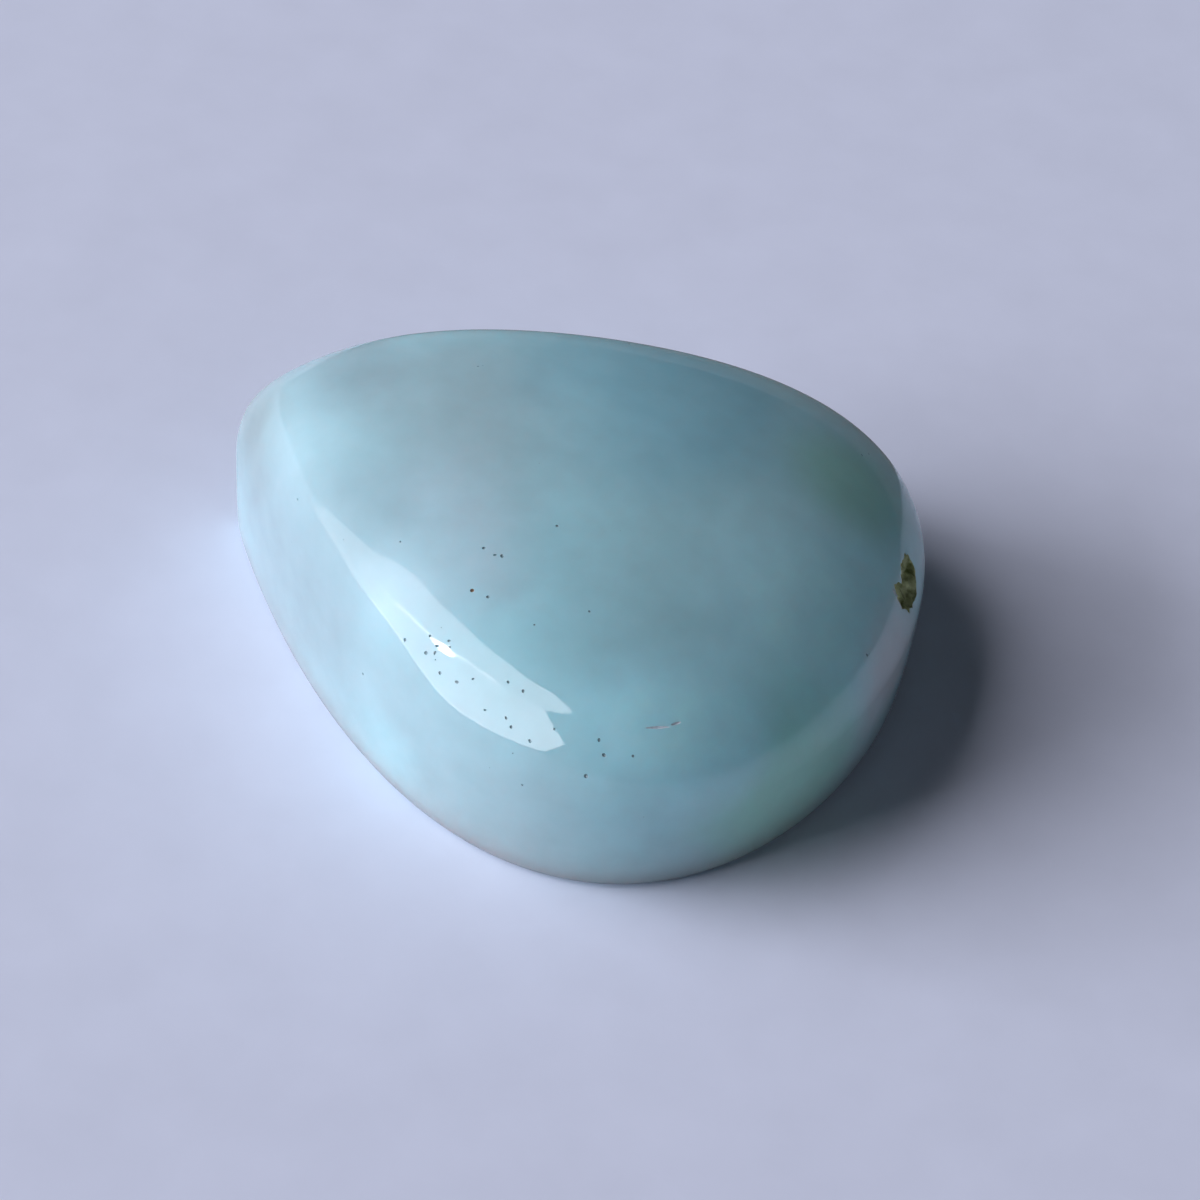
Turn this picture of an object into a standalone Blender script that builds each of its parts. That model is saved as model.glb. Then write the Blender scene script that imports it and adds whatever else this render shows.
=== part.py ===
"""Pear-shaped cabochon of blue-green opal, cut and polished from one lump of stone.

The stone lies on its flat ground back, with its tip at -X, its round end at +X and its dome up.
It was cut by hand and is a little lopsided: its belly bows to -Y from the line between its tip and
its round end. A globe of rings and columns is bent into the pear: its lowest ring is closed as the
flat back, the next rings are the wall, and the rest are the dome. The edge of the back is bevelled,
and one open cavity is cut into the shoulder of the round end.
"""

import math

import bmesh
import bpy
from mathutils import Vector, noise

MM = 0.001

# Driving dimensions of the stone
LENGTH = 20.0 * MM
WIDTH = 16.9 * MM
HEIGHT = 7.6 * MM
WALL_HEIGHT = 2.9 * MM

# Lopsidedness, measured from the line between the tip and the round end
BELLY_BOW = 1.6 * MM
APEX_X = -2.0 * MM
APEX_Y = -2.0 * MM

# Pointedness of an outline: 0 is an ellipse, and larger values draw the tip out.
# The rounding blunts the tip: at 0 its point is sharp.
POINTEDNESS = 0.9
POINTEDNESS_FADE = 2.0
TIP_ROUNDING = 0.16

# The back is smaller than the girdle at the top of the wall by this share of each radius
TUCK_UNDER = 0.012
TUCK_CURVE = 2.0

# Fullness of the dome's sections: 2 is an ellipse, and larger values have squarer shoulders
ROUND_FULLNESS = 2.0
TIP_FULLNESS = 3.6
TIP_FULLNESS_FADE = 3.0

# Ground bevel around the back, on edges that turn by more than the angle
BEVEL_WIDTH = 0.25 * MM
BEVEL_SEGMENTS = 2
BEVEL_ANGLE = math.radians(70.0)

# Open cavity in the shoulder of the round end, longest along its own Y
CAVITY_CENTRE = (9.38 * MM, 1.9 * MM, 4.2 * MM)
CAVITY_HALF_SIZE = (0.42 * MM, 0.9 * MM, 0.36 * MM)
CAVITY_TILT = math.radians(20.0)
CAVITY_TURN = math.radians(19.0)
CAVITY_RAGGEDNESS = 0.22
CAVITY_LUMP_SCALE = 1.7
CAVITY_SUBDIVISIONS = 3

# Mesh density
COLUMNS = 88
WALL_RINGS = 5
DOME_RINGS = 26
DOME_RING_SPACING = 1.1

# Finish
OPAL_COLOUR = (0.30, 0.56, 0.60, 1.0)
OPAL_ROUGHNESS = 0.12
SMOOTH_ANGLE = math.radians(45.0)


def clear_scene():
    """Empty the scene, so that the stone is all it holds."""
    for obj in list(bpy.data.objects):
        bpy.data.objects.remove(obj, do_unlink=True)


def new_collection(name):
    """Make a collection in the scene."""
    collection = bpy.data.collections.new(name)
    bpy.context.scene.collection.children.link(collection)
    return collection


def new_object(name, mesh_source, collection):
    """Turn a bmesh into an object of a collection, and free the bmesh."""
    mesh = bpy.data.meshes.new(name)
    mesh_source.to_mesh(mesh)
    mesh_source.free()
    obj = bpy.data.objects.new(name, mesh)
    collection.objects.link(obj)
    return obj


def opal_material():
    """Polished milky blue-green opal."""
    material = bpy.data.materials.new("polished_opal")
    material.use_nodes = True
    shader = material.node_tree.nodes["Principled BSDF"]
    shader.inputs["Base Color"].default_value = OPAL_COLOUR
    shader.inputs["Roughness"].default_value = OPAL_ROUGHNESS
    shader.inputs["Metallic"].default_value = 0.0
    return material


def swell(share, pointedness):
    """Half width of a pear of unit scale at this share of the way from its tip to its round end."""
    drawn_out = (share + TIP_ROUNDING**2) ** (pointedness / 2)
    return math.sqrt(share * (1 - share)) * drawn_out


def widest_share(pointedness):
    """Share of the way to the round end where swell stops growing."""
    linear = 1 + pointedness - 2 * TIP_ROUNDING**2
    square = 2 + pointedness
    return (linear + math.sqrt(linear**2 + 4 * square * TIP_ROUNDING**2)) / (2 * square)


def outline_point(turn, pointedness):
    """Point of a pear outline, where turn runs from 0 at the tip once round the stone."""
    share = math.sin(turn / 2) ** 2
    half_width = swell(share, pointedness) / swell(widest_share(pointedness), pointedness)
    side = math.copysign(WIDTH / 2, math.sin(turn))
    bow = BELLY_BOW * math.sin(turn) ** 2
    return -LENGTH / 2 * math.cos(turn), side * half_width - bow


def shrunk(outline, reach, height):
    """Point at a height, whose distance from the apex's axis is this share of the outline's."""
    x, y = outline
    return Vector((APEX_X + (x - APEX_X) * reach, APEX_Y + (y - APEX_Y) * reach, height))


def wall_point(climb, turn):
    """Point of the wall, where climb runs from 0 at the back to 1 at the girdle."""
    reach = 1 - TUCK_UNDER * (1 - climb) ** TUCK_CURVE
    return shrunk(outline_point(turn, POINTEDNESS), reach, WALL_HEIGHT * climb)


def dome_point(climb, turn):
    """Point of the dome, where climb runs from 0 at the girdle to 1 at the apex."""
    angle = climb**DOME_RING_SPACING * math.pi / 2
    spread = max(math.cos(angle), 0.0)
    outline = outline_point(turn, POINTEDNESS * spread**POINTEDNESS_FADE)
    towards_tip = (1 + math.cos(turn)) / 2
    towards_apex = (angle * 2 / math.pi) ** TIP_FULLNESS_FADE
    fullness = ROUND_FULLNESS + (TIP_FULLNESS - ROUND_FULLNESS) * towards_tip * (1 - towards_apex)
    height = WALL_HEIGHT + (HEIGHT - WALL_HEIGHT) * math.sin(angle)
    return shrunk(outline, spread ** (2 / fullness), height)


def stone_point(ring, turn):
    """Place of the globe's vertex that lies on a ring, counted from the back, at a turn."""
    girdle_ring = 1 + WALL_RINGS
    if ring <= girdle_ring:
        return wall_point((ring - 1) / WALL_RINGS, turn)
    return dome_point((ring - girdle_ring) / DOME_RINGS, turn)


def centre_on_x_axis(globe):
    """Move the stone along Y, so that its box is as wide on both sides of the X axis."""
    sides = [vert.co.y for vert in globe.verts]
    middle = (min(sides) + max(sides)) / 2
    bmesh.ops.translate(globe, verts=globe.verts, vec=(0.0, -middle, 0.0))


def build_stone(collection):
    """Bend a globe into the pear, and close its lowest ring as the flat back."""
    rings = 1 + WALL_RINGS + DOME_RINGS
    globe = bmesh.new()
    bmesh.ops.create_uvsphere(globe, u_segments=COLUMNS, v_segments=rings, radius=1.0)
    south_pole = min(globe.verts, key=lambda vert: vert.co.z)
    bmesh.ops.delete(globe, geom=[south_pole], context="VERTS")
    for vert in globe.verts:
        latitude = math.asin(max(-1.0, min(1.0, vert.co.z)))
        ring = round((latitude / math.pi + 0.5) * rings)
        turn = (math.atan2(vert.co.y, vert.co.x) + math.pi) % (2 * math.pi)
        vert.co = stone_point(ring, turn)
    centre_on_x_axis(globe)
    rim = [edge for edge in globe.edges if edge.is_boundary]
    bmesh.ops.holes_fill(globe, edges=rim, sides=0)
    bmesh.ops.recalc_face_normals(globe, faces=globe.faces)
    stone = new_object("opal", globe, collection)
    stone.data.materials.append(opal_material())
    stone.data.shade_smooth()
    stone.data.set_sharp_from_angle(angle=SMOOTH_ANGLE)
    return stone


def bevel_back(stone):
    """Grind the edge of the back, which is the only edge that turns so sharply."""
    bevel = stone.modifiers.new("back_bevel", "BEVEL")
    bevel.width = BEVEL_WIDTH
    bevel.segments = BEVEL_SEGMENTS
    bevel.limit_method = "ANGLE"
    bevel.angle_limit = BEVEL_ANGLE


def build_cavity_cutter(collection):
    """Make the ragged blob whose shape is missing from the shoulder."""
    blob = bmesh.new()
    bmesh.ops.create_icosphere(blob, subdivisions=CAVITY_SUBDIVISIONS, radius=1.0)
    for vert in blob.verts:
        lump = 1 + CAVITY_RAGGEDNESS * noise.noise(vert.co * CAVITY_LUMP_SCALE)
        vert.co = vert.co * Vector(CAVITY_HALF_SIZE) * lump
    cutter = new_object("cavity_cutter", blob, collection)
    cutter.location = CAVITY_CENTRE
    cutter.rotation_euler = (CAVITY_TILT, 0.0, CAVITY_TURN)
    cutter.hide_render = True
    cutter.display_type = "WIRE"
    return cutter


def cut_cavity(stone, cutter):
    """Take the cutter's shape out of the stone."""
    cut = stone.modifiers.new("cavity", "BOOLEAN")
    cut.operation = "DIFFERENCE"
    cut.solver = "EXACT"
    cut.object = cutter


def main():
    """Build the stone, and leave its bevel and cavity as modifiers."""
    clear_scene()
    stone = build_stone(new_collection("pear_opal_cabochon"))
    cutter = build_cavity_cutter(new_collection("cutters"))
    bevel_back(stone)
    cut_cavity(stone, cutter)


main()
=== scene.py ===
"""Looks of the pear-shaped opal cabochon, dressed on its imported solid.

The stone is one piece. A Geometry Nodes tree bends a globe into the lopsided pear, at the size of the
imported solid, and a second tree cuts the polishing pits, the scratch and the open cavity out of it.
Where the photograph shows a mark, the mark is placed by casting a ray through its pixel.
Around the stone stand a pale floor, soft lights and cards that only the polish mirrors.
"""

from __future__ import annotations

import logging
import math
import random
from dataclasses import dataclass, field
from enum import Enum
from typing import Any

import bmesh
import bpy
from mathutils import Matrix, Vector
from mathutils.bvhtree import BVHTree

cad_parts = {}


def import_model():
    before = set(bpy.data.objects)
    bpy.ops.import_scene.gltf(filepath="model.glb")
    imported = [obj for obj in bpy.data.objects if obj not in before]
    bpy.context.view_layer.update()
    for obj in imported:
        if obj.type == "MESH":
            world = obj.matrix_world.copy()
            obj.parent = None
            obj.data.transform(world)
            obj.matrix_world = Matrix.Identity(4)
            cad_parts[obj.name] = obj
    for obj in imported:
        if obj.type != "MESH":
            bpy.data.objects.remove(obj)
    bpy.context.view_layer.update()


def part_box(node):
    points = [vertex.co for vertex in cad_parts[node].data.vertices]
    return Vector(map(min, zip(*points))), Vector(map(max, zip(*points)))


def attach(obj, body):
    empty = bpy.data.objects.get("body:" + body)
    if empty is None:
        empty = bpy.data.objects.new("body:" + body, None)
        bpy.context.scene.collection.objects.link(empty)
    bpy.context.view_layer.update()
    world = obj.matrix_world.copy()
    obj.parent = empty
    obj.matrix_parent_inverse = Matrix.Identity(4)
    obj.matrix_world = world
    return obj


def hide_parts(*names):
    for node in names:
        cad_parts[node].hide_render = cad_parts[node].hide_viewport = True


LOG = logging.getLogger("opal_cabochon")

MM = 0.001
NODE_NAME = "opal"
BODY_NAME = "root"

Pixel = tuple[float, float]
Colour = tuple[float, float, float]


class Value:
    """A number or vector that flows through a node tree, on which Python's operators work."""

    def __init__(self, graph: Graph, socket: bpy.types.NodeSocket) -> None:
        """Wrap an output socket.

        Args:
            graph: The graph that the socket belongs to.
            socket: The output socket that carries the value.
        """
        self.graph = graph
        self.socket = socket

    def __add__(self, other: Value | float) -> Value:
        """Return the sum."""
        return self.graph.math("ADD", self, other)

    def __radd__(self, other: float) -> Value:
        """Return the sum, with the number on the left."""
        return self.graph.math("ADD", other, self)

    def __sub__(self, other: Value | float) -> Value:
        """Return the difference."""
        return self.graph.math("SUBTRACT", self, other)

    def __rsub__(self, other: float) -> Value:
        """Return the difference, with the number on the left."""
        return self.graph.math("SUBTRACT", other, self)

    def __mul__(self, other: Value | float) -> Value:
        """Return the product."""
        return self.graph.math("MULTIPLY", self, other)

    def __rmul__(self, other: float) -> Value:
        """Return the product, with the number on the left."""
        return self.graph.math("MULTIPLY", other, self)

    def __truediv__(self, other: Value | float) -> Value:
        """Return the quotient."""
        return self.graph.math("DIVIDE", self, other)

    def __rtruediv__(self, other: float) -> Value:
        """Return the quotient, with the number on the left."""
        return self.graph.math("DIVIDE", other, self)

    def __pow__(self, other: Value | float) -> Value:
        """Return the power."""
        return self.graph.math("POWER", self, other)


class Graph:
    """A node tree, with short calls that add nodes and wire them up."""

    COLUMN_WIDTH = 190.0
    ROW_HEIGHT = 220.0
    ROWS = 8
    MIX_COLOURS = (6, 7)
    MIX_RESULT = 2

    def __init__(self, tree: bpy.types.NodeTree) -> None:
        """Start on a tree, after whatever nodes it already has."""
        self.tree = tree

    def node(self, kind: str, inputs: dict[Any, Any] | None = None, **settings: Any) -> bpy.types.Node:
        """Add a node.

        Args:
            kind: The node's type name.
            inputs: Values for its inputs by name or index; wrapped values and sockets are linked.
            **settings: The node's own properties.

        Returns:
            The new node.
        """
        column, row = divmod(len(self.tree.nodes), self.ROWS)
        made = self.tree.nodes.new(kind)
        made.location = (column * self.COLUMN_WIDTH, -row * self.ROW_HEIGHT)
        for name, setting in settings.items():
            setattr(made, name, setting)
        for key, value in (inputs or {}).items():
            self.feed(made.inputs[key], value)
        return made

    def feed(self, socket: bpy.types.NodeSocket, value: Any) -> None:
        """Link a wrapped value or a socket to an input, or set a plain value on it.

        Args:
            socket: The input socket.
            value: What goes into it.
        """
        if isinstance(value, Value):
            value = value.socket
        if isinstance(value, bpy.types.NodeSocket):
            self.tree.links.new(value, socket)
        else:
            socket.default_value = value

    def math(self, operation: str, *operands: Value | float, clamp: bool = False) -> Value:
        """Add a Math node.

        Args:
            operation: The operation's name.
            *operands: Its one, two or three operands.
            clamp: Whether the result is kept between 0 and 1.

        Returns:
            The node's result.
        """
        made = self.node("ShaderNodeMath", dict(enumerate(operands)), operation=operation, use_clamp=clamp)
        return Value(self, made.outputs[0])

    def vector_math(self, operation: str, inputs: dict[Any, Any], output: str = "Vector") -> Value:
        """Add a Vector Math node and return one of its outputs."""
        return Value(self, self.node("ShaderNodeVectorMath", inputs, operation=operation).outputs[output])

    def combine(self, x: Value | float, y: Value | float, z: Value | float) -> Value:
        """Return the vector with these components."""
        return Value(self, self.node("ShaderNodeCombineXYZ", {0: x, 1: y, 2: z}).outputs[0])

    def separate(self, vector: Value) -> tuple[Value, Value, Value]:
        """Return the components of a vector."""
        made = self.node("ShaderNodeSeparateXYZ", {0: vector})
        return tuple(Value(self, made.outputs[name]) for name in "XYZ")

    def ramp(self, value: Value | float, start: Value | float, end: Value | float) -> Value:
        """Return how far a value is from start to end, kept between 0 and 1."""
        return self.math("DIVIDE", self.math("SUBTRACT", value, start), end - start, clamp=True)

    def smooth(self, value: Value | float, start: float, end: float) -> Value:
        """Return the smooth step of a value from start to end."""
        made = self.node(
            "ShaderNodeMapRange",
            {"Value": value, "From Min": start, "From Max": end},
            interpolation_type="SMOOTHSTEP",
        )
        return Value(self, made.outputs["Result"])

    def blend(self, factor: Value, first: Value | Colour, second: Value | Colour) -> Value:
        """Return the mix of two colours.

        Args:
            factor: The share of the second colour.
            first: The first colour.
            second: The second colour.

        Returns:
            The mixed colour.
        """
        made = self.node("ShaderNodeMix", data_type="RGBA")
        self.feed(made.inputs[0], factor)
        for socket, colour in zip(self.MIX_COLOURS, (first, second)):
            self.feed(made.inputs[socket], colour if isinstance(colour, Value) else (*colour, 1.0))
        return Value(self, made.outputs[self.MIX_RESULT])

    def shaded(self, colour: Value | Colour, mask: Value, depth: float) -> Value:
        """Return a colour that a mask makes darker and lighter by up to the depth."""
        shade = (mask - 0.5) * depth * 2.0 + 1.0
        return self.vector_math("SCALE", {0: colour, "Scale": shade})

    def group(self, tree: bpy.types.NodeTree, inputs: dict[str, Any]) -> Value:
        """Place a shader node group.

        Args:
            tree: The group.
            inputs: The values of its named inputs.

        Returns:
            The group's output.
        """
        made = self.node("ShaderNodeGroup", node_tree=tree)
        for label, value in inputs.items():
            self.feed(made.inputs[label], value)
        return Value(self, made.outputs[0])


class GeometryGraph(Graph):
    """A Geometry Nodes tree with named inputs, which starts from the object's own mesh."""

    def __init__(self, name: str) -> None:
        """Make an empty tree with a geometry input and output.

        Args:
            name: The tree's name.
        """
        super().__init__(bpy.data.node_groups.new(name, "GeometryNodeTree"))
        self.tree.interface.new_socket("Geometry", in_out="INPUT", socket_type="NodeSocketGeometry")
        self.tree.interface.new_socket("Geometry", in_out="OUTPUT", socket_type="NodeSocketGeometry")
        self.group_input = self.node("NodeGroupInput")
        self.values: dict[str, Any] = {}

    def input(self, name: str, value: Any, kind: str = "NodeSocketFloat") -> Value:
        """Add a named input with a value for this object.

        Args:
            name: The input's name.
            value: What the modifier sets on it.
            kind: The socket's type.

        Returns:
            The input as a value in the tree.
        """
        self.tree.interface.new_socket(name, in_out="INPUT", socket_type=kind)
        self.values[name] = value
        return Value(self, self.group_input.outputs[name])

    def dress(
        self, geometry: bpy.types.NodeSocket, material: bpy.types.Material, selection: Value | bool = True
    ) -> None:
        """End the tree: make the instances real, set a material and link the output.

        Args:
            geometry: The finished geometry.
            material: The material to set.
            selection: The faces that get it.
        """
        real = self.node("GeometryNodeRealizeInstances", {"Geometry": geometry})
        inputs = {"Geometry": real.outputs[0], "Selection": selection, "Material": material}
        dressed = self.node("GeometryNodeSetMaterial", inputs)
        self.node("NodeGroupOutput", {"Geometry": dressed.outputs[0]})

    def mesh_from(self, name: str, start: bpy.types.Mesh) -> bpy.types.Mesh:
        """Run the tree on a mesh.

        Args:
            name: The name of the new mesh.
            start: The mesh that the tree starts from.

        Returns:
            The tree's result as a plain mesh.
        """
        carrier = bpy.data.objects.new(name + "_carrier", start)
        bpy.context.scene.collection.objects.link(carrier)
        modifier = carrier.modifiers.new(self.tree.name, "NODES")
        modifier.node_group = self.tree
        for item in self.tree.interface.items_tree:
            if item.in_out == "INPUT" and item.name in self.values:
                modifier[item.identifier] = self.values[item.name]
        evaluated = carrier.evaluated_get(bpy.context.evaluated_depsgraph_get())
        mesh = bpy.data.meshes.new_from_object(evaluated)
        mesh.name = name
        carrier.modifiers.remove(modifier)
        bpy.data.objects.remove(carrier, do_unlink=True)
        return mesh


class GroupGraph(Graph):
    """A shader node group with named inputs and one output."""

    def __init__(self, name: str, inputs: dict[str, str], output: str) -> None:
        """Make the group's tree.

        Args:
            name: The group's name.
            inputs: The type of socket of each named input.
            output: The name of the output.
        """
        super().__init__(bpy.data.node_groups.new(name, "ShaderNodeTree"))
        for label, kind in inputs.items():
            self.tree.interface.new_socket(label, in_out="INPUT", socket_type=kind)
        self.tree.interface.new_socket(output, in_out="OUTPUT", socket_type="NodeSocketFloat")
        made = self.node("NodeGroupInput")
        self.inputs = {label: Value(self, made.outputs[label]) for label in inputs}

    def finish(self, value: Value) -> bpy.types.NodeTree:
        """Link the value to the group's output.

        Args:
            value: What the group puts out.

        Returns:
            The group's tree.
        """
        made = self.node("NodeGroupOutput")
        self.feed(made.inputs[0], value)
        return self.tree


@dataclass(frozen=True)
class Mottle:
    """How fine, how detailed and how strong a mottled pattern is."""

    per_metre: float
    detail: float
    contrast: float


class Effects:
    """The shader node groups of the stone and the floor, each built once."""

    CLOUD_CORE = 0.3
    CLOUD_EDGE = 1.3

    def __init__(self) -> None:
        """Build the groups."""
        self.mottle = self.build_mottle()
        self.cloud = self.build_cloud()

    def build_mottle(self) -> bpy.types.NodeTree:
        """Build the group that breaks a surface up into soft mottles.

        Returns:
            The group's tree.
        """
        sockets = {"Place": "NodeSocketVector", "Mottles per metre": "NodeSocketFloat"}
        sockets.update({"Detail": "NodeSocketFloat", "Contrast": "NodeSocketFloat"})
        group = GroupGraph("mottle", sockets, "Mask")
        made = group.node(
            "ShaderNodeTexNoise",
            {
                "Vector": group.inputs["Place"],
                "Scale": group.inputs["Mottles per metre"],
                "Detail": group.inputs["Detail"],
            },
        )
        around_half = (Value(group, made.outputs[0]) - 0.5) * group.inputs["Contrast"]
        return group.finish(group.math("ADD", around_half, 0.5, clamp=True))

    def build_cloud(self) -> bpy.types.NodeTree:
        """Build the group that masks one cloud with a soft, wandering edge.

        Returns:
            The group's tree.
        """
        sockets = {"Place": "NodeSocketVector", "Centre": "NodeSocketVector"}
        sockets.update({"Radius": "NodeSocketFloat", "Wander": "NodeSocketFloat"})
        group = GroupGraph("cloud", sockets, "Mask")
        ends = {0: group.inputs["Place"], 1: group.inputs["Centre"]}
        away = group.vector_math("DISTANCE", ends, "Value")
        share = away / group.inputs["Radius"] + (0.5 - group.inputs["Wander"])
        return group.finish(1.0 - group.smooth(share, self.CLOUD_CORE, self.CLOUD_EDGE))

    def mottled(self, graph: Graph, place: Value, pattern: Mottle) -> Value:
        """Place the mottle group in a material.

        Args:
            graph: The material's graph.
            place: The place on the piece.
            pattern: How the mottles look.

        Returns:
            The mask of the mottles, around a half.
        """
        inputs = {"Place": place, "Mottles per metre": pattern.per_metre}
        inputs.update({"Detail": pattern.detail, "Contrast": pattern.contrast})
        return graph.group(self.mottle, inputs)


def new_material(name: str) -> bpy.types.Material:
    """Make a material that has nodes."""
    material = bpy.data.materials.new(name)
    material.use_nodes = True
    return material


def object_place(graph: Graph) -> Value:
    """Return the place on the piece, in its own coordinates."""
    return Value(graph, graph.node("ShaderNodeTexCoord").outputs["Object"])


@dataclass(frozen=True)
class PhotoCamera:
    """The photograph's viewing angle and framing, found from the stone's outline."""

    azimuth: float = math.radians(12.84)
    elevation: float = math.radians(44.0)
    roll: float = math.radians(5.7)
    distance: float = 100.0 * MM
    aim: tuple[float, float, float] = (0.0, 1.45 * MM, 4.0 * MM)
    aim_pixel: Pixel = (573.6, 507.4)
    pixels_per_metre: float = 715.1 / (20.0 * MM)
    image_size: float = 1200.0
    sensor_mm: float = 36.0
    nearest: float = 1.0 * MM
    farthest: float = 20.0

    def ground_axes(self) -> tuple[Vector, Vector]:
        """Find the level directions that the camera sees as across and away.

        Returns:
            The directions to the camera's right and away from it.
        """
        right = Vector((math.cos(self.azimuth), math.sin(self.azimuth), 0.0))
        ahead = Vector((-math.sin(self.azimuth), math.cos(self.azimuth), 0.0))
        return right, ahead

    def matrix(self) -> Matrix:
        """Work out where the camera stands.

        Returns:
            The camera's placement.
        """
        level_right, ahead = self.ground_axes()
        back = Vector((0.0, 0.0, math.sin(self.elevation))) - ahead * math.cos(self.elevation)
        level_up = back.cross(level_right)
        right = level_right * math.cos(self.roll) + level_up * math.sin(self.roll)
        up = back.cross(right)
        turn = Matrix((right, up, back)).transposed().to_4x4()
        return Matrix.Translation(Vector(self.aim) + back * self.distance) @ turn

    def ray(self, pixel: Pixel) -> tuple[Vector, Vector]:
        """Find the ray through a pixel of the photograph.

        Args:
            pixel: The pixel, counted from the top left.

        Returns:
            The ray's start and its direction.
        """
        across = (pixel[0] - self.aim_pixel[0]) / self.pixels_per_metre
        down = (pixel[1] - self.aim_pixel[1]) / self.pixels_per_metre
        placed = self.matrix()
        start = placed.translation
        return start, (placed @ Vector((across, -down, -self.distance)) - start).normalized()

    def build(self) -> None:
        """Make the camera and set it as the scene's."""
        data = bpy.data.cameras.new("photo_camera")
        data.sensor_width = self.sensor_mm
        data.lens = self.pixels_per_metre * self.distance / self.image_size * self.sensor_mm
        half = self.image_size / 2
        data.shift_x = (half - self.aim_pixel[0]) / self.image_size
        data.shift_y = (self.aim_pixel[1] - half) / self.image_size
        data.clip_start = self.nearest
        data.clip_end = self.farthest
        camera = bpy.data.objects.new("photo_camera", data)
        camera.matrix_world = self.matrix()
        bpy.context.scene.collection.objects.link(camera)
        bpy.context.scene.camera = camera


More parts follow.
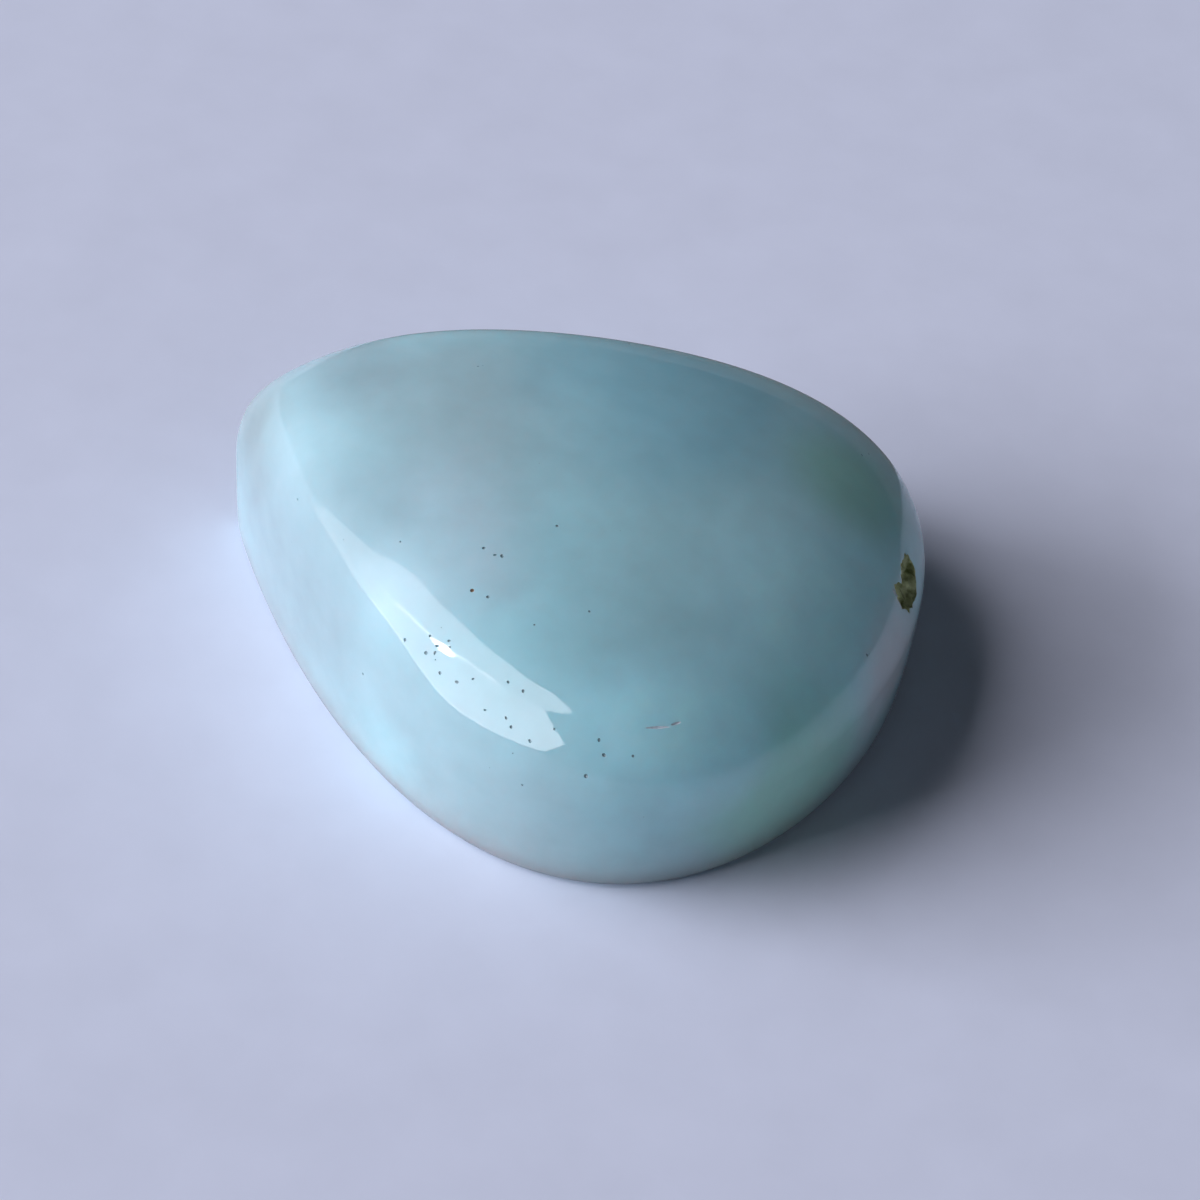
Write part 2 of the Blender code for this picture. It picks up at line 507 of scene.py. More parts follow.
@dataclass
class PearStone:
    """The stone's body. Its length and height come from the frame, the rest are shares of the length."""

    length: float
    height: float
    width_share: float = 0.845
    wall_share: float = 0.145
    bow_share: float = 0.08
    apex_x_share: float = -0.1
    apex_y_share: float = -0.1
    bevel_share: float = 0.0125
    pointedness: float = 0.9
    pointedness_fade: float = 2.0
    tip_rounding: float = 0.16
    tuck_under: float = 0.012
    round_fullness: float = 2.0
    tip_fullness: float = 3.6
    tip_fullness_fade: float = 3.0
    ring_spacing: float = 1.1
    columns: int = 320
    back_rings: int = 10
    bevel_rings: int = 6
    wall_rings: int = 28
    dome_rings: int = 156

    def swell(self, graph: Graph, share: Value, pointedness: Value, rounding: Value) -> Value:
        """Return the half width of a pear of unit scale.

        Args:
            graph: The tree that the nodes go in.
            share: The share of the way from the tip to the round end.
            pointedness: How far the tip is drawn out.
            rounding: How blunt the tip is.

        Returns:
            The half width.
        """
        drawn_out = (share + rounding**2.0) ** (pointedness / 2.0)
        return graph.math("SQRT", graph.math("MAXIMUM", share * (1.0 - share), 0.0)) * drawn_out

    def widest_share(self, graph: Graph, pointedness: Value, rounding: Value) -> Value:
        """Find where the pear stops widening.

        Args:
            graph: The tree that the nodes go in.
            pointedness: How far the tip is drawn out.
            rounding: How blunt the tip is.

        Returns:
            The share of the way from the tip to the round end.
        """
        linear = 1.0 + pointedness - 2.0 * rounding**2.0
        square = 2.0 + pointedness
        root = graph.math("SQRT", linear**2.0 + 4.0 * square * rounding**2.0)
        return (linear + root) / (2.0 * square)

    def build(self, opal: bpy.types.Material) -> bpy.types.Mesh:
        """Bend a globe into the pear.

        Args:
            opal: The material of the stone.

        Returns:
            The closed, smooth body, with its flat back down.
        """
        graph = GeometryGraph("pear_cabochon")
        length = graph.input("Length", self.length)
        width = graph.input("Width", self.length * self.width_share)
        height = graph.input("Height", self.height)
        wall = graph.input("Wall height", self.length * self.wall_share)
        bow = graph.input("Belly bow", self.length * self.bow_share)
        apex_x = graph.input("Apex X", self.length * self.apex_x_share)
        apex_y = graph.input("Apex Y", self.length * self.apex_y_share)
        bevel = graph.input("Bevel", self.length * self.bevel_share)
        full_pointedness = graph.input("Pointedness", self.pointedness)
        rounding = graph.input("Tip rounding", self.tip_rounding)
        tip_fullness = graph.input("Tip fullness", self.tip_fullness)
        tuck_under = graph.input("Tuck under", self.tuck_under)

        rings = self.back_rings + self.bevel_rings + self.wall_rings + self.dome_rings
        globe = graph.node(
            "GeometryNodeMeshUVSphere", {"Segments": self.columns, "Rings": rings, "Radius": 1.0}
        )
        place = Value(graph, graph.node("GeometryNodeInputPosition").outputs[0])
        x, y, z = graph.separate(place)
        ring = (graph.math("ARCSINE", z) / math.pi + 0.5) * float(rings)
        turn = graph.math("ARCTAN2", y * -1.0, x) + math.pi

        on_back = graph.ramp(ring, 0.0, float(self.back_rings))
        bevel_start = float(self.back_rings)
        wall_start = bevel_start + self.bevel_rings
        dome_start = wall_start + self.wall_rings
        bevel_angle = graph.ramp(ring, bevel_start, wall_start) * (math.pi / 2)
        on_wall = graph.ramp(ring, wall_start, dome_start)
        on_dome = graph.ramp(ring, dome_start, float(rings))
        angle = on_dome**self.ring_spacing * (math.pi / 2)
        spread = graph.math("MAXIMUM", graph.math("COSINE", angle), 0.0)

        low = bevel * (1.0 - graph.math("COSINE", bevel_angle)) + (wall - bevel) * on_wall
        rise = low + (height - wall) * graph.math("SINE", angle)

        towards_tip = (1.0 + graph.math("COSINE", turn)) / 2.0
        towards_apex = (angle / (math.pi / 2)) ** self.tip_fullness_fade
        extra = (tip_fullness - self.round_fullness) * towards_tip * (1.0 - towards_apex)
        dome_reach = spread ** (2.0 / (extra + self.round_fullness))
        tuck = tuck_under * (1.0 - low / wall) ** 2.0
        inset = 2.0 * bevel / width * (1.0 - graph.math("SINE", bevel_angle))
        reach = on_back * dome_reach * (1.0 - tuck - inset)

        pointedness = full_pointedness * spread**self.pointedness_fade
        share = graph.math("SINE", turn / 2.0) ** 2.0
        widest = self.swell(graph, self.widest_share(graph, pointedness, rounding), pointedness, rounding)
        half_width = self.swell(graph, share, pointedness, rounding) / widest
        side = graph.math("SIGN", graph.math("SINE", turn)) * width / 2.0
        out_x = length / -2.0 * graph.math("COSINE", turn)
        out_y = side * half_width - bow * graph.math("SINE", turn) ** 2.0
        bent_x = apex_x + (out_x - apex_x) * reach
        bent_y = apex_y + (out_y - apex_y) * reach
        bent = graph.node(
            "GeometryNodeSetPosition",
            {"Geometry": globe.outputs["Mesh"], "Position": graph.combine(bent_x, bent_y, rise)},
        )
        box = graph.node("GeometryNodeBoundBox", {"Geometry": bent.outputs[0]})
        corners = graph.vector_math("ADD", {0: box.outputs["Min"], 1: box.outputs["Max"]})
        middle_y = graph.separate(corners)[1] / -2.0
        centred = graph.node(
            "GeometryNodeTransform",
            {"Geometry": bent.outputs[0], "Translation": graph.combine(0.0, middle_y, 0.0)},
        )
        smooth = graph.node("GeometryNodeSetShadeSmooth", {"Geometry": centred.outputs[0]})
        graph.dress(smooth.outputs[0], opal)
        return graph.mesh_from("smooth_stone", bpy.data.meshes.new("empty"))


class Tint(Enum):
    """The colours that drift through the stone, some of them painted light and painted shade."""

    # The shade greys and the milk are partly painted shade on the lit left end; the pale aqua and sea green
    # are partly painted light on the side in shade.
    DARK_PAINTED_SHADE_GREY = (0.28, 0.35, 0.35)
    SMOKE = (0.34, 0.47, 0.49)
    MILK_AND_PAINTED_SHADE = (0.40, 0.57, 0.59)
    PALE_MILK = (0.48, 0.65, 0.68)
    DEEP_BLUE = (0.30, 0.56, 0.62)
    PALE_AQUA_AND_PAINTED_LIGHT = (0.53, 0.87, 0.92)
    SEA_GREEN_AND_PAINTED_LIGHT = (0.42, 0.80, 0.68)
    MOSS = (0.36, 0.66, 0.60)
    # Partly paler stone and partly a painted reflection of the grey band along the right wall.
    PEARL_AND_PAINTED_REFLECTION = (0.63, 0.72, 0.75)


@dataclass(frozen=True)
class Cloud:
    """A soft cloud of another colour in the stone, behind a pixel of the photograph; some clouds paint
    light, shade and a reflection onto the stone besides its own colour.
    """

    pixel: Pixel
    radius: float
    tint: Tint


@dataclass(frozen=True)
class OpalFinish:
    """Milky, polished blue-green opal."""

    name: str = "polished_opal"
    body: Colour = (0.42, 0.69, 0.72)
    # Over the stone's own zoning these clouds carry painted light and shade: the grey and milk clouds on the
    # left darken the end and flank that the lamps light, and the pale aqua clouds towards the right and
    # front and the sea green cloud at the lower right lighten the side that lies in shade.
    clouds_and_painted_light: tuple[Cloud, ...] = (
        Cloud((290, 560), 6.0 * MM, Tint.SMOKE),
        Cloud((262, 400), 2.5 * MM, Tint.DARK_PAINTED_SHADE_GREY),
        Cloud((430, 400), 4.5 * MM, Tint.MILK_AND_PAINTED_SHADE),
        Cloud((430, 540), 3.0 * MM, Tint.PALE_MILK),
        Cloud((680, 400), 4.5 * MM, Tint.DEEP_BLUE),
        Cloud((830, 620), 4.5 * MM, Tint.PALE_AQUA_AND_PAINTED_LIGHT),
        Cloud((790, 790), 3.0 * MM, Tint.SEA_GREEN_AND_PAINTED_LIGHT),
        Cloud((640, 715), 1.8 * MM, Tint.PALE_AQUA_AND_PAINTED_LIGHT),
        Cloud((470, 800), 3.5 * MM, Tint.MILK_AND_PAINTED_SHADE),
        Cloud((700, 735), 2.4 * MM, Tint.PALE_AQUA_AND_PAINTED_LIGHT),
        Cloud((335, 362), 2.4 * MM, Tint.SMOKE),
        Cloud((405, 700), 2.6 * MM, Tint.MILK_AND_PAINTED_SHADE),
        Cloud((330, 535), 2.4 * MM, Tint.SMOKE),
        # Partly paler stone and partly a painted reflection: the grey band that the steep right wall
        # mirrors.
        Cloud((893, 665), 1.9 * MM, Tint.PEARL_AND_PAINTED_REFLECTION),
        Cloud((850, 480), 2.2 * MM, Tint.MOSS),
    )
    wisps: Mottle = Mottle(260.0, 3.0, 1.0)
    fine_mottles: Mottle = Mottle(900.0, 5.0, 1.6)
    mottle_depth: float = 0.06
    smoothest: float = 0.03
    roughest: float = 0.07
    ripples: Mottle = Mottle(700.0, 2.0, 1.0)
    ripple_height: float = 0.004 * MM
    ior: float = 1.45
    scatter: float = 1.0
    scatter_scale: float = 5.0 * MM
    scatter_radius: Colour = (0.55, 0.95, 1.0)

    def colour(self, graph: Graph, place: Value, effects: Effects, centres: list[Vector]) -> Value:
        """Add the nodes that colour the stone.

        Args:
            graph: The material's graph.
            place: The place in the stone.
            effects: The shader node groups.
            centres: Where each cloud is.

        Returns:
            The colour.
        """
        wander = effects.mottled(graph, place, self.wisps)
        colour: Value | Colour = self.body
        # The clouds blend in painted light and shade as well as the stone's zoning.
        for cloud, centre in zip(self.clouds_and_painted_light, centres):
            inputs = {"Place": place, "Centre": centre, "Radius": cloud.radius, "Wander": wander}
            colour = graph.blend(graph.group(effects.cloud, inputs), colour, cloud.tint.value)
        return graph.shaded(colour, effects.mottled(graph, place, self.fine_mottles), self.mottle_depth)

    def fill(self, material: bpy.types.Material, effects: Effects, centres: list[Vector]) -> None:
        """Add the nodes of the material.

        Args:
            material: The material, still plain.
            effects: The shader node groups.
            centres: Where each cloud is.
        """
        graph = Graph(material.node_tree)
        shader = material.node_tree.nodes["Principled BSDF"]
        shader.subsurface_method = "RANDOM_WALK"
        place = object_place(graph)
        graph.feed(shader.inputs["Base Color"], self.colour(graph, place, effects, centres))
        ripple = effects.mottled(graph, place, self.ripples)
        roughness = ripple * (self.roughest - self.smoothest) + self.smoothest
        graph.feed(shader.inputs["Roughness"], roughness)
        bump = graph.node("ShaderNodeBump", {"Height": ripple, "Distance": self.ripple_height})
        graph.feed(shader.inputs["Normal"], bump.outputs[0])
        graph.feed(shader.inputs["IOR"], self.ior)
        graph.feed(shader.inputs["Subsurface Weight"], self.scatter)
        graph.feed(shader.inputs["Subsurface Radius"], self.scatter_radius)
        graph.feed(shader.inputs["Subsurface Scale"], self.scatter_scale)


class Lining(Enum):
    """What the inside of a cut looks like. The number is kept on the point of each cut."""

    PIT = 0
    SCRATCH = 1
    CAVITY = 2
    STAIN = 3


@dataclass(frozen=True)
class LiningFinish:
    """Rough, unpolished stone inside a pit, a scratch or the cavity; the pit lining's dark colour is painted
    shade.
    """

    name: str
    dark: Colour
    light: Colour
    patches_per_metre: float
    patch_detail: float = 4.0
    patch_contrast: float = 3.3
    roughness: float = 0.85

    def build(self, effects: Effects) -> bpy.types.Material:
        """Make the material.

        Args:
            effects: The shader node groups.

        Returns:
            The lining.
        """
        material = new_material(self.name)
        graph = Graph(material.node_tree)
        shader = material.node_tree.nodes["Principled BSDF"]
        patches = Mottle(self.patches_per_metre, self.patch_detail, self.patch_contrast)
        shares = effects.mottled(graph, object_place(graph), patches)
        graph.feed(shader.inputs["Base Color"], graph.blend(shares, self.dark, self.light))
        graph.feed(shader.inputs["Roughness"], self.roughness)
        return material


@dataclass(frozen=True)
class CutterForm:
    """How the lump that makes one kind of cut is shaped."""

    subdivisions: int
    raggedness: float
    lumps_per_metre: float
    finish: LiningFinish


CUTTERS = {
    Lining.PIT: CutterForm(
        subdivisions=3,
        raggedness=0.03 * MM,
        lumps_per_metre=9000.0,
        # Painted shade: the dark teal lining makes the pits read dark, as the shade in them would.
        finish=LiningFinish("pit_lining", (0.16, 0.25, 0.27), (0.32, 0.46, 0.49), 20000.0),
    ),
    Lining.SCRATCH: CutterForm(
        subdivisions=4,
        raggedness=0.01 * MM,
        lumps_per_metre=9000.0,
        finish=LiningFinish("scratch_lining", (0.55, 0.66, 0.72), (0.8, 0.88, 0.92), 9000.0),
    ),
    Lining.CAVITY: CutterForm(
        subdivisions=5,
        raggedness=0.55 * MM,
        lumps_per_metre=2300.0,
        finish=LiningFinish("cavity_lining", (0.20, 0.24, 0.08), (0.66, 0.74, 0.40), 3500.0),
    ),
    Lining.STAIN: CutterForm(
        subdivisions=3,
        raggedness=0.03 * MM,
        lumps_per_metre=9000.0,
        finish=LiningFinish("stain_lining", (0.10, 0.06, 0.03), (0.30, 0.20, 0.12), 20000.0),
    ),
}


@dataclass(frozen=True)
class Cut:
    """One cut in the polish: where it is, which way it lies and how large it is."""

    place: Vector
    turn: Matrix
    half_size: tuple[float, float, float]
    lining: Lining


class Surface:
    """The smooth body, as something that rays can hit."""

    SHORTEST_REACH = MM * MM

    def __init__(self, mesh: bpy.types.Mesh) -> None:
        """Sort the faces for casting rays.

        Args:
            mesh: The smooth body.
        """
        self.mesh = mesh
        self.corners = [tuple(face.vertices) for face in mesh.polygons]
        self.tree = BVHTree.FromPolygons([vertex.co for vertex in mesh.vertices], self.corners)

    def hit(self, start: Vector, direction: Vector) -> tuple[Vector, Vector]:
        """Cast a ray.

        Args:
            start: Where the ray starts.
            direction: The way it goes.

        Returns:
            The point that it meets and the smooth outward normal there.

        Raises:
            ValueError: When the ray misses the stone.
        """
        place, _, face, _ = self.tree.ray_cast(start, direction)
        if place is None:
            raise ValueError("a ray misses the stone")
        normal = Vector()
        for vertex in (self.mesh.vertices[index] for index in self.corners[face]):
            normal += vertex.normal / ((vertex.co - place).length + self.SHORTEST_REACH)
        return place, normal.normalized()


@dataclass
class Marks:
    """The marks of the polish, each where the photograph shows it."""

    camera: PhotoCamera
    surface: Surface
    pit_pixels: tuple[Pixel, ...] = (
        (430, 636), (437, 646), (449, 641), (450, 647), (435, 653), (426, 653), (440, 673), (457, 682),
        (473, 679), (508, 682), (523, 691), (485, 710), (506, 718), (511, 727), (530, 741), (405, 640),
        (488, 597), (484, 548), (495, 555), (502, 556), (557, 526), (599, 740), (604, 755), (633, 756),
        (586, 776), (363, 674), (867, 655), (862, 455),
    )
    pit_radius: float = 0.047 * MM
    pit_depth: float = 0.032 * MM
    pit_lengths: tuple[float, float] = (0.8, 1.35)
    pit_widths: tuple[float, float] = (0.6, 0.95)
    brown_pit_ends: tuple[Pixel, Pixel] = ((470, 590), (474, 591))
    brown_pit_width: float = 0.05 * MM
    scratch_ends: tuple[tuple[Pixel, Pixel], ...] = (
        ((645, 728), (670, 727)), ((671, 725), (681, 722)), ((892, 587), (905, 612)),
    )
    scratch_width: float = 0.034 * MM
    cavities: tuple[tuple[Pixel, Pixel, float], ...] = (
        ((909, 553), (911, 616), 0.46 * MM), ((896, 586), (911, 606), 0.30 * MM),
    )
    cavity_depth: float = 0.22 * MM
    seed: int = 7

    def oriented(self, normal: Vector, along: Vector) -> Matrix:
        """Return the turn that puts Z on the normal and X along the surface."""
        across = normal.cross(along).normalized()
        return Matrix((across.cross(normal), across, normal)).transposed()

    def pit(self, pixel: Pixel, draw: random.Random) -> Cut:
        """Place a small pit, turned and sized by chance.

        Args:
            pixel: Where the photograph shows it.
            draw: The source of the chances.

        Returns:
            The pit.
        """
        place, normal = self.surface.hit(*self.camera.ray(pixel))
        angle = draw.uniform(0.0, math.pi)
        level = self.oriented(normal, Vector((1.0, 0.0, 0.0)))
        along = level @ Vector((math.cos(angle), math.sin(angle), 0.0))
        half_length = self.pit_radius * draw.uniform(*self.pit_lengths)
        half_width = half_length * draw.uniform(*self.pit_widths)
        turn = self.oriented(normal, along)
        return Cut(place, turn, (half_length, half_width, self.pit_depth), Lining.PIT)

    def groove(self, ends: tuple[Pixel, Pixel], half_width: float, depth: float, lining: Lining) -> Cut:
        """Place a cut that runs from one pixel to another.

        Args:
            ends: The two pixels.
            half_width: Half of the cut's width.
            depth: How deep it goes.
            lining: What its inside looks like.

        Returns:
            The cut.
        """
        start = self.surface.hit(*self.camera.ray(ends[0]))[0]
        end = self.surface.hit(*self.camera.ray(ends[1]))[0]
        middle = ((ends[0][0] + ends[1][0]) / 2, (ends[0][1] + ends[1][1]) / 2)
        place, normal = self.surface.hit(*self.camera.ray(middle))
        half_size = ((end - start).length / 2, half_width, depth)
        return Cut(place, self.oriented(normal, end - start), half_size, lining)

    def cuts(self) -> list[Cut]:
        """Place every mark that the photograph shows.

        Returns:
            The marks.
        """
        draw = random.Random(self.seed)
        found = [self.pit(pixel, draw) for pixel in self.pit_pixels]
        for ends in self.scratch_ends:
            found.append(self.groove(ends, self.scratch_width, self.scratch_width, Lining.SCRATCH))
        found.append(self.groove(self.brown_pit_ends, self.brown_pit_width, self.pit_depth, Lining.STAIN))
        for start, end, half_width in self.cavities:
            found.append(self.groove((start, end), half_width, self.cavity_depth, Lining.CAVITY))
        return found

    def points(self) -> bpy.types.Object:
        """Turn the marks into points, each with its turn, size and lining.

        Returns:
            An object whose mesh is the points.
        """
        cuts = self.cuts()
        mesh = bpy.data.meshes.new("mark_points")
        mesh.from_pydata([cut.place for cut in cuts], [], [])
        for name, kind in (("turn", "FLOAT_VECTOR"), ("half_size", "FLOAT_VECTOR"), ("lining", "INT")):
            mesh.attributes.new(name, kind, "POINT")
        for index, cut in enumerate(cuts):
            mesh.attributes["turn"].data[index].vector = cut.turn.to_euler()
            mesh.attributes["half_size"].data[index].vector = cut.half_size
            mesh.attributes["lining"].data[index].value = cut.lining.value
        points = bpy.data.objects.new("mark_points", mesh)
        bpy.context.scene.collection.objects.link(points)
        return points


@dataclass
class Cabochon:
    """The stone as it is seen: the body with its marks, dressed with its finishes."""

    body: PearStone
    camera: PhotoCamera
    finish: OpalFinish = field(default_factory=OpalFinish)
    stray_pits_per_square_metre: float = 90000.0
    stray_pit_radius: float = 0.024 * MM
    smallest_stray_share: float = 0.5
    stray_pit_subdivisions: int = 2
    lowest_stray_pit: float = 3.0 * MM
    cutter_detail: float = 3.0
    edge_angle: float = math.radians(40.0)
    seed: int = 11
    effects: Effects = field(init=False)
    surface: Surface = field(init=False)
    lining_materials: dict[str, bpy.types.Material] = field(init=False)

    def lumps(
        self, graph: GeometryGraph, form: CutterForm, placed: bpy.types.NodeSocket
    ) -> bpy.types.NodeSocket:
        """Add the nodes that make placed lumps ragged and line them.

        Args:
            graph: The tree that the nodes go in.
            form: How the lumps are shaped.
            placed: The lumps as instances.

        Returns:
            The cutters.
        """
        real = graph.node("GeometryNodeRealizeInstances", {"Geometry": placed})
        place = graph.node("GeometryNodeInputPosition").outputs[0]
        lumpy = {"Vector": place, "Scale": form.lumps_per_metre, "Detail": self.cutter_detail}
        noise = graph.node("ShaderNodeTexNoise", lumpy)
        shift = graph.vector_math("SUBTRACT", {0: noise.outputs["Color"], 1: (0.5, 0.5, 0.5)})
        offset = graph.vector_math("SCALE", {0: shift, "Scale": form.raggedness})
        ragged = graph.node("GeometryNodeSetPosition", {"Geometry": real.outputs[0], "Offset": offset})
        lined = graph.node("GeometryNodeSetMaterial", {"Geometry": ragged.outputs[0]})
        lined.inputs["Material"].default_value = self.lining_materials[form.finish.name]
        return lined.outputs[0]

    def listed_cutters(self, graph: GeometryGraph, points: Any, lining: Lining) -> bpy.types.NodeSocket:
        """Add the nodes that make the cutters of one lining.

        Args:
            graph: The tree that the nodes go in.
            points: The geometry with the marks' points.
            lining: The lining whose points are used.

        Returns:
            The cutters, with their lining.
        """
        form = CUTTERS[lining]
        kind = graph.node("GeometryNodeInputNamedAttribute", {"Name": "lining"}, data_type="INT")
        wanted = graph.math("COMPARE", Value(graph, kind.outputs[0]), float(lining.value), 0.5)
        turn = graph.node("GeometryNodeInputNamedAttribute", {"Name": "turn"}, data_type="FLOAT_VECTOR")
        size = graph.node("GeometryNodeInputNamedAttribute", {"Name": "half_size"}, data_type="FLOAT_VECTOR")
        lump = graph.node("GeometryNodeMeshIcoSphere", {"Subdivisions": form.subdivisions})
        placed = graph.node(
            "GeometryNodeInstanceOnPoints",
            {
                "Points": points,
                "Selection": wanted,
                "Instance": lump.outputs["Mesh"],
                "Rotation": graph.node("FunctionNodeEulerToRotation", {0: turn.outputs[0]}).outputs[0],
                "Scale": size.outputs[0],
            },
        )
        return self.lumps(graph, form, placed.outputs[0])

    def stray_cutters(self, graph: GeometryGraph, stone: bpy.types.NodeSocket) -> bpy.types.NodeSocket:
        """Add the nodes that scatter fine pits over the dome.

        Args:
            graph: The tree that the nodes go in.
            stone: The body's geometry.

        Returns:
            The cutters, with their lining.
        """
        density = graph.input("Stray pits per square metre", self.stray_pits_per_square_metre)
        radius = graph.input("Stray pit radius", self.stray_pit_radius)
        height = graph.separate(Value(graph, graph.node("GeometryNodeInputPosition").outputs[0]))[2]
        scatter = graph.node(
            "GeometryNodeDistributePointsOnFaces",
            {
                "Mesh": stone,
                "Selection": graph.math("GREATER_THAN", height, self.lowest_stray_pit),
                "Density": density,
                "Seed": self.seed,
            },
        )
        chance = graph.node("FunctionNodeRandomValue", {"Seed": self.seed}, data_type="FLOAT")
        lump = graph.node("GeometryNodeMeshIcoSphere", {"Subdivisions": self.stray_pit_subdivisions})
        placed = graph.node(
            "GeometryNodeInstanceOnPoints",
            {
                "Points": scatter.outputs["Points"],
                "Instance": lump.outputs["Mesh"],
                "Scale": radius * (self.smallest_stray_share + Value(graph, chance.outputs[1])),
            },
        )
        # The stray pits take the pit lining too, with its painted shade.
        return self.lumps(graph, CUTTERS[Lining.PIT], placed.outputs[0])

    def marked(self, smooth_stone: bpy.types.Mesh, points: bpy.types.Object) -> bpy.types.Mesh:
        """Cut the marks out of the body.

        Args:
            smooth_stone: The body.
            points: The marks as points.

        Returns:
            The body with its marks, each finish in a material slot.
        """
        graph = GeometryGraph("worn_polish")
        stone = graph.group_input.outputs["Geometry"]
        marks = graph.input("Marks", points, "NodeSocketObject")
        listed = graph.node("GeometryNodeObjectInfo", {"Object": marks}).outputs["Geometry"]
        cut = graph.node("GeometryNodeMeshBoolean", operation="DIFFERENCE", solver="EXACT")
        graph.feed(cut.inputs["Mesh 1"], stone)
        graph.feed(cut.inputs["Mesh 2"], self.stray_cutters(graph, stone))
        for lining in Lining:
            graph.feed(cut.inputs["Mesh 2"], self.listed_cutters(graph, listed, lining))
        smooth = graph.node("GeometryNodeSetShadeSmooth", {"Geometry": cut.outputs["Mesh"]})
        fold = Value(graph, graph.node("GeometryNodeInputMeshEdgeAngle").outputs["Unsigned Angle"])
        creased = graph.node(
            "GeometryNodeSetShadeSmooth",
            {
                "Geometry": smooth.outputs[0],
                "Selection": graph.math("GREATER_THAN", fold, self.edge_angle),
                "Shade Smooth": False,
            },
            domain="EDGE",
        )
        index = Value(graph, graph.node("GeometryNodeInputMaterialIndex").outputs[0])
        is_stone = graph.math("LESS_THAN", index, 0.5)
        graph.dress(creased.outputs[0], smooth_stone.materials[0], is_stone)
        return graph.mesh_from("opal_cabochon", smooth_stone)

    def build(self) -> bpy.types.Object:
        """Make the stone's piece.

        Returns:
            The piece, which stands for the solid.
        """
        self.effects = Effects()
        finishes = [form.finish for form in CUTTERS.values()]
        self.lining_materials = {finish.name: finish.build(self.effects) for finish in finishes}
        opal = new_material(self.finish.name)
        smooth_stone = self.body.build(opal)
        self.surface = Surface(smooth_stone)
        centres = [self.surface.hit(*self.camera.ray(cloud.pixel))[0] for cloud in self.finish.clouds_and_painted_light]
        self.finish.fill(opal, self.effects, centres)
        points = Marks(self.camera, self.surface).points()
        mesh = self.marked(smooth_stone, points)
        bpy.data.objects.remove(points, do_unlink=True)
        piece = bpy.data.objects.new("opal_cabochon", mesh)
        bpy.context.scene.collection.objects.link(piece)
        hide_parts(NODE_NAME)
        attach(piece, BODY_NAME)
        return piece


@dataclass(frozen=True)
class SoftLight:
    """One soft light: where it stands as the camera sees the ground, and how large and bright it is."""

    name: str
    azimuth: float
    elevation: float
    size: tuple[float, float]
    power: float
    distance: float = 1.2
    colour: Colour = (0.87, 0.87, 1.0)


@dataclass(frozen=True)
class Glow:
    """How bright a card is at the end that the tip mirrors, and at the one that the round end mirrors."""

    left: float
    right: float


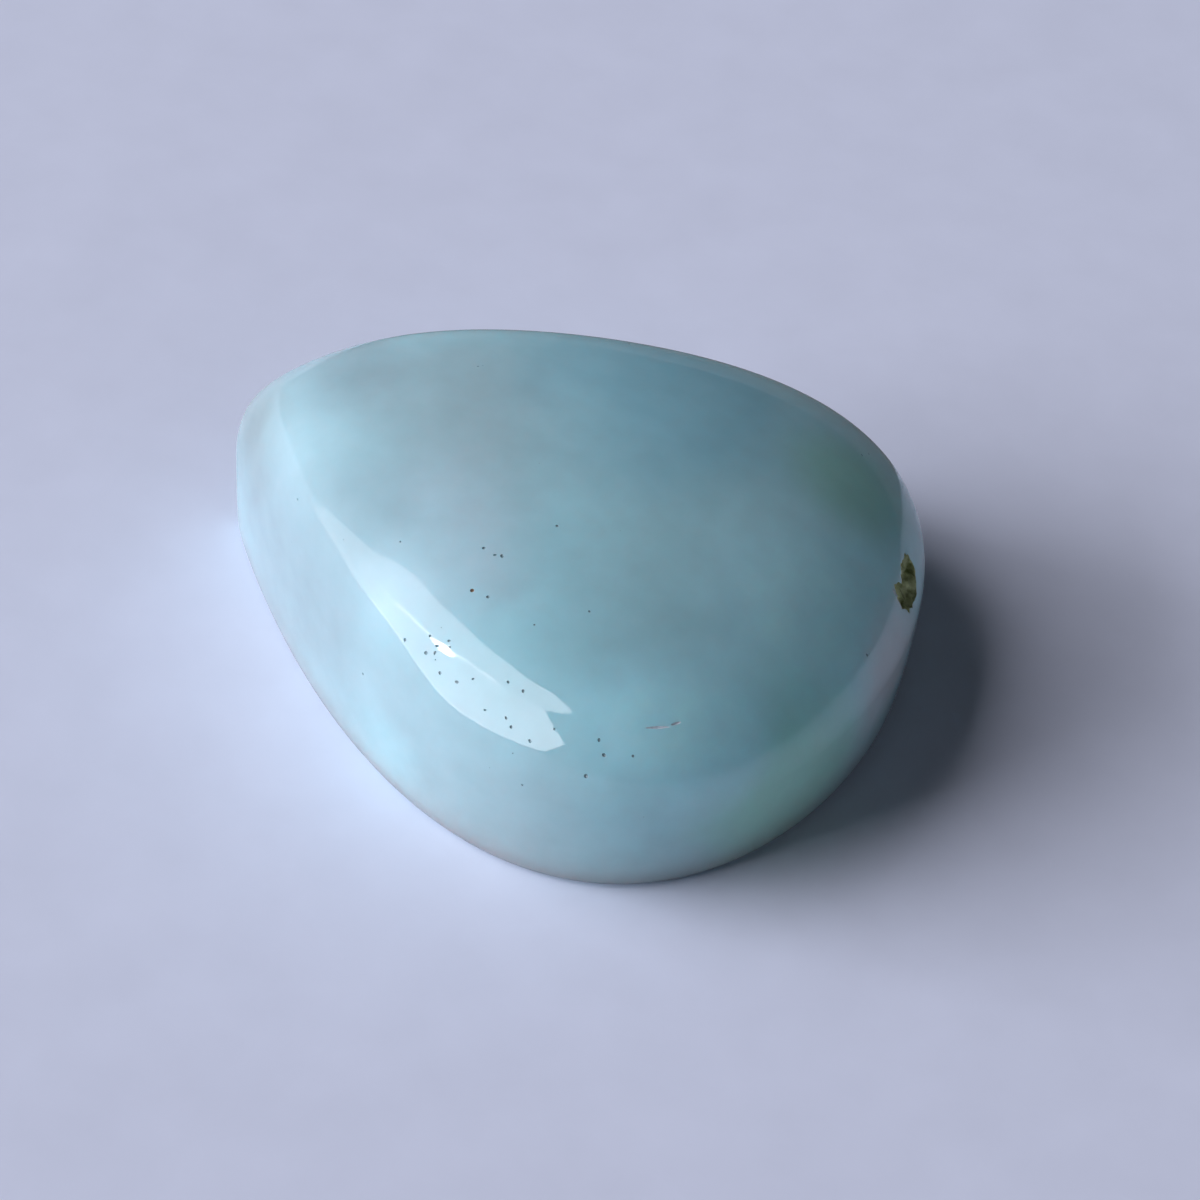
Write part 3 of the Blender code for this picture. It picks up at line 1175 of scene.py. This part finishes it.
@dataclass
class Studio:
    """The pale floor, the soft light from the left and the cards that the polish mirrors."""

    camera: PhotoCamera
    surface: Surface
    effects: Effects
    floor_height: float
    floor_size: float = 3.0
    floor_colour: Colour = (0.70, 0.74, 0.84)
    floor_roughness: float = 0.9
    grain: Mottle = Mottle(420.0, 4.0, 1.0)
    grain_depth: float = 0.05
    lights: tuple[SoftLight, ...] = (
        SoftLight("low_window", math.radians(189.0), math.radians(19.0), (1.05, 0.48), 18.3),
        SoftLight("high_window", math.radians(170.0), math.radians(40.0), (0.86, 0.86), 9.4),
        SoftLight("fill", math.radians(310.0), math.radians(22.0), (0.9, 0.9), 0.85),
    )
    room_colour: Colour = (0.80, 0.86, 1.0)
    room_strength: float = 0.02
    card_colour: Colour = (1.0, 0.93, 0.97)
    card_azimuth: float = math.radians(222.0)
    card_distance: float = 19.0 * MM
    card_half_width: float = 20.0 * MM
    card_gap: float = 0.1 * MM
    upper_edge: tuple[Pixel, ...] = (
        (314, 509), (324, 506), (344, 525), (375, 553), (401, 565), (418, 579), (438, 601), (462, 624),
        (488, 648), (507, 662), (529, 680), (553, 693), (571, 709),
    )
    upper_prong: tuple[Pixel, ...] = ((573, 715), (563, 713))
    lower_prong: tuple[Pixel, ...] = ((545, 711), (551, 723), (561, 739), (565, 744))
    lower_edge: tuple[Pixel, ...] = (
        (545, 751), (527, 746), (503, 737), (480, 725), (454, 707), (436, 690), (420, 670), (405, 646),
        (389, 624), (371, 600),
    )
    left_point: tuple[Pixel, ...] = ((353, 575), (337, 547), (322, 523))
    streak: tuple[Pixel, ...] = (
        (394, 604), (409, 617), (420, 628), (433, 640), (443, 648), (454, 655), (468, 664), (482, 674),
        (497, 684),
    )
    streak_width: float = 3.0
    glint: tuple[Pixel, ...] = ((430, 637), (437, 640), (448, 646), (456, 656), (450, 657), (440, 651))
    rim_width: float = 1.6
    window_glow: Glow = Glow(1.6, 6.3)
    lower_pane_glow: Glow = Glow(1.6, 8.0)
    rim_glow: Glow = Glow(3.0, 11.0)
    streak_glow: Glow = Glow(5.0, 12.0)
    glint_glow: Glow = Glow(30.0, 30.0)
    flag_azimuth: float = math.radians(78.0)
    flag_reach: tuple[float, float] = (10.0 * MM, 400.0 * MM)
    flag_half_angle: float = math.radians(36.0)
    flag_height: float = 0.2 * MM
    flag_glow: Glow = Glow(0.12, 0.12)

    def direction(self, azimuth: float) -> Vector:
        """Return a level direction, from the camera's right round by way of straight ahead."""
        right, ahead = self.camera.ground_axes()
        return right * math.cos(azimuth) + ahead * math.sin(azimuth)

    def build_floor(self) -> None:
        """Make the floor."""
        bpy.ops.mesh.primitive_plane_add(size=self.floor_size, location=(0.0, 0.0, self.floor_height))
        floor = bpy.context.object
        floor.name = "floor"
        material = new_material("pale_floor")
        shader = material.node_tree.nodes["Principled BSDF"]
        graph = Graph(material.node_tree)
        mask = self.effects.mottled(graph, object_place(graph), self.grain)
        graph.feed(shader.inputs["Base Color"], graph.shaded(self.floor_colour, mask, self.grain_depth))
        graph.feed(shader.inputs["Roughness"], self.floor_roughness)
        graph.feed(shader.inputs["Specular IOR Level"], 0.0)
        floor.data.materials.append(material)

    def build_light(self, light: SoftLight) -> None:
        """Make a soft light, turned towards the stone.

        Args:
            light: Where it stands, and how large and bright it is.
        """
        data = bpy.data.lights.new(light.name, "AREA")
        data.shape = "RECTANGLE"
        data.size, data.size_y = light.size
        data.energy = light.power
        data.color = light.colour
        level = self.direction(light.azimuth)
        out = level * math.cos(light.elevation) + Vector((0.0, 0.0, math.sin(light.elevation)))
        right = Vector((0.0, 0.0, 1.0)).cross(out).normalized()
        turn = Matrix((right, out.cross(right), out)).transposed().to_4x4()
        lamp = bpy.data.objects.new(light.name, data)
        lamp.matrix_world = Matrix.Translation(out * light.distance) @ turn
        lamp.visible_glossy = False
        bpy.context.scene.collection.objects.link(lamp)

    def reflected(self, pixel: Pixel, distance: float) -> Vector:
        """Find the point of an upright plane that the polish mirrors at a pixel.

        Args:
            pixel: The pixel of the photograph.
            distance: How far the plane stands from the middle of the stone.

        Returns:
            The point.
        """
        start, direction = self.camera.ray(pixel)
        place, normal = self.surface.hit(start, direction)
        bounced = direction.reflect(normal)
        out = self.direction(self.card_azimuth)
        return place + bounced * ((distance - place.dot(out)) / bounced.dot(out))

    def band(self, line: tuple[Pixel, ...], width: float) -> tuple[Pixel, ...]:
        """Return the outline of a thin band along a line, on its upper right side."""
        shift = width / math.sqrt(2.0)
        return line + tuple((x + shift, y - shift) for x, y in reversed(line))

    def glow_material(self, name: str, glow: Glow) -> bpy.types.Material:
        """Make the material of a card.

        Args:
            name: The material's name.
            glow: How bright the card is at its two ends.

        Returns:
            The material.
        """
        material = new_material(name)
        nodes = material.node_tree.nodes
        nodes.remove(nodes["Principled BSDF"])
        graph = Graph(material.node_tree)
        side = Vector((0.0, 0.0, 1.0)).cross(self.direction(self.card_azimuth))
        along = graph.vector_math("DOT_PRODUCT", {0: object_place(graph), 1: side}, "Value")
        share = graph.ramp(along, -self.card_half_width, self.card_half_width)
        strength = share * (glow.right - glow.left) + glow.left
        light = graph.node("ShaderNodeEmission", {"Color": (*self.card_colour, 1.0), "Strength": strength})
        graph.feed(nodes["Material Output"].inputs["Surface"], light.outputs[0])
        return material

    def build_card(self, name: str, corners: list[Vector], glow: Glow) -> None:
        """Make a glowing card that only the polish shows.

        Args:
            name: The card's name.
            corners: Its corners.
            glow: How bright it is at its two ends.
        """
        sheet = bmesh.new()
        face = sheet.faces.new([sheet.verts.new(corner) for corner in corners])
        face.normal_update()
        bmesh.ops.triangulate(sheet, faces=[face], ngon_method="EAR_CLIP")
        mesh = bpy.data.meshes.new(name)
        sheet.to_mesh(mesh)
        sheet.free()
        mesh.materials.append(self.glow_material(name, glow))
        card = bpy.data.objects.new(name, mesh)
        card.visible_camera = False
        card.visible_diffuse = False
        card.visible_transmission = False
        card.visible_volume_scatter = False
        card.visible_shadow = False
        bpy.context.scene.collection.objects.link(card)

    def build_window(self) -> None:
        """Make the cards of the window that shines in the polish."""
        upper_side = self.upper_edge + self.upper_prong
        lower_side = self.lower_prong + self.lower_edge
        cards = (
            ("window_card", upper_side + lower_side + self.left_point, self.window_glow),
            ("lower_pane_card", self.streak + lower_side, self.lower_pane_glow),
            ("rim_card", self.band(self.lower_edge[1:], self.rim_width), self.rim_glow),
            ("streak_card", self.band(self.streak, self.streak_width), self.streak_glow),
            ("glint_card", self.glint, self.glint_glow),
        )
        for step, (name, outline, glow) in enumerate(cards):
            distance = self.card_distance - step * self.card_gap
            self.build_card(name, [self.reflected(pixel, distance) for pixel in outline], glow)

    def build_flag(self) -> None:
        """Make the dim sheet behind the stone, which keeps the far edge's reflection dark."""
        corners = []
        for reach, half_angle in zip(self.flag_reach, (self.flag_half_angle, -self.flag_half_angle)):
            for turn in (-half_angle, half_angle):
                corner = self.direction(self.flag_azimuth + turn) * reach
                corners.append(corner + Vector((0.0, 0.0, self.floor_height + self.flag_height)))
        self.build_card("flag_card", corners, self.flag_glow)

    def build_room(self) -> None:
        """Set the dim light of the room."""
        world = bpy.data.worlds.new("room")
        world.use_nodes = True
        background = world.node_tree.nodes["Background"]
        background.inputs["Color"].default_value = (*self.room_colour, 1.0)
        background.inputs["Strength"].default_value = self.room_strength
        bpy.context.scene.world = world
        bpy.context.scene.view_settings.view_transform = "Standard"

    def build(self) -> None:
        """Make everything around the stone."""
        self.build_floor()
        for light in self.lights:
            self.build_light(light)
        self.build_window()
        self.build_flag()
        self.build_room()


def main() -> None:
    """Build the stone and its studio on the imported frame."""
    logging.basicConfig(level=logging.INFO, format="%(name)s: %(message)s")
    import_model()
    low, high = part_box(NODE_NAME)
    camera = PhotoCamera()
    cabochon = Cabochon(PearStone(length=high[0] - low[0], height=high[2] - low[2]), camera)
    stone = cabochon.build()
    LOG.info("%s: %d faces", stone.name, len(stone.data.polygons))
    camera.build()
    Studio(camera, cabochon.surface, cabochon.effects, floor_height=low[2]).build()


if __name__ == "__main__":
    main()
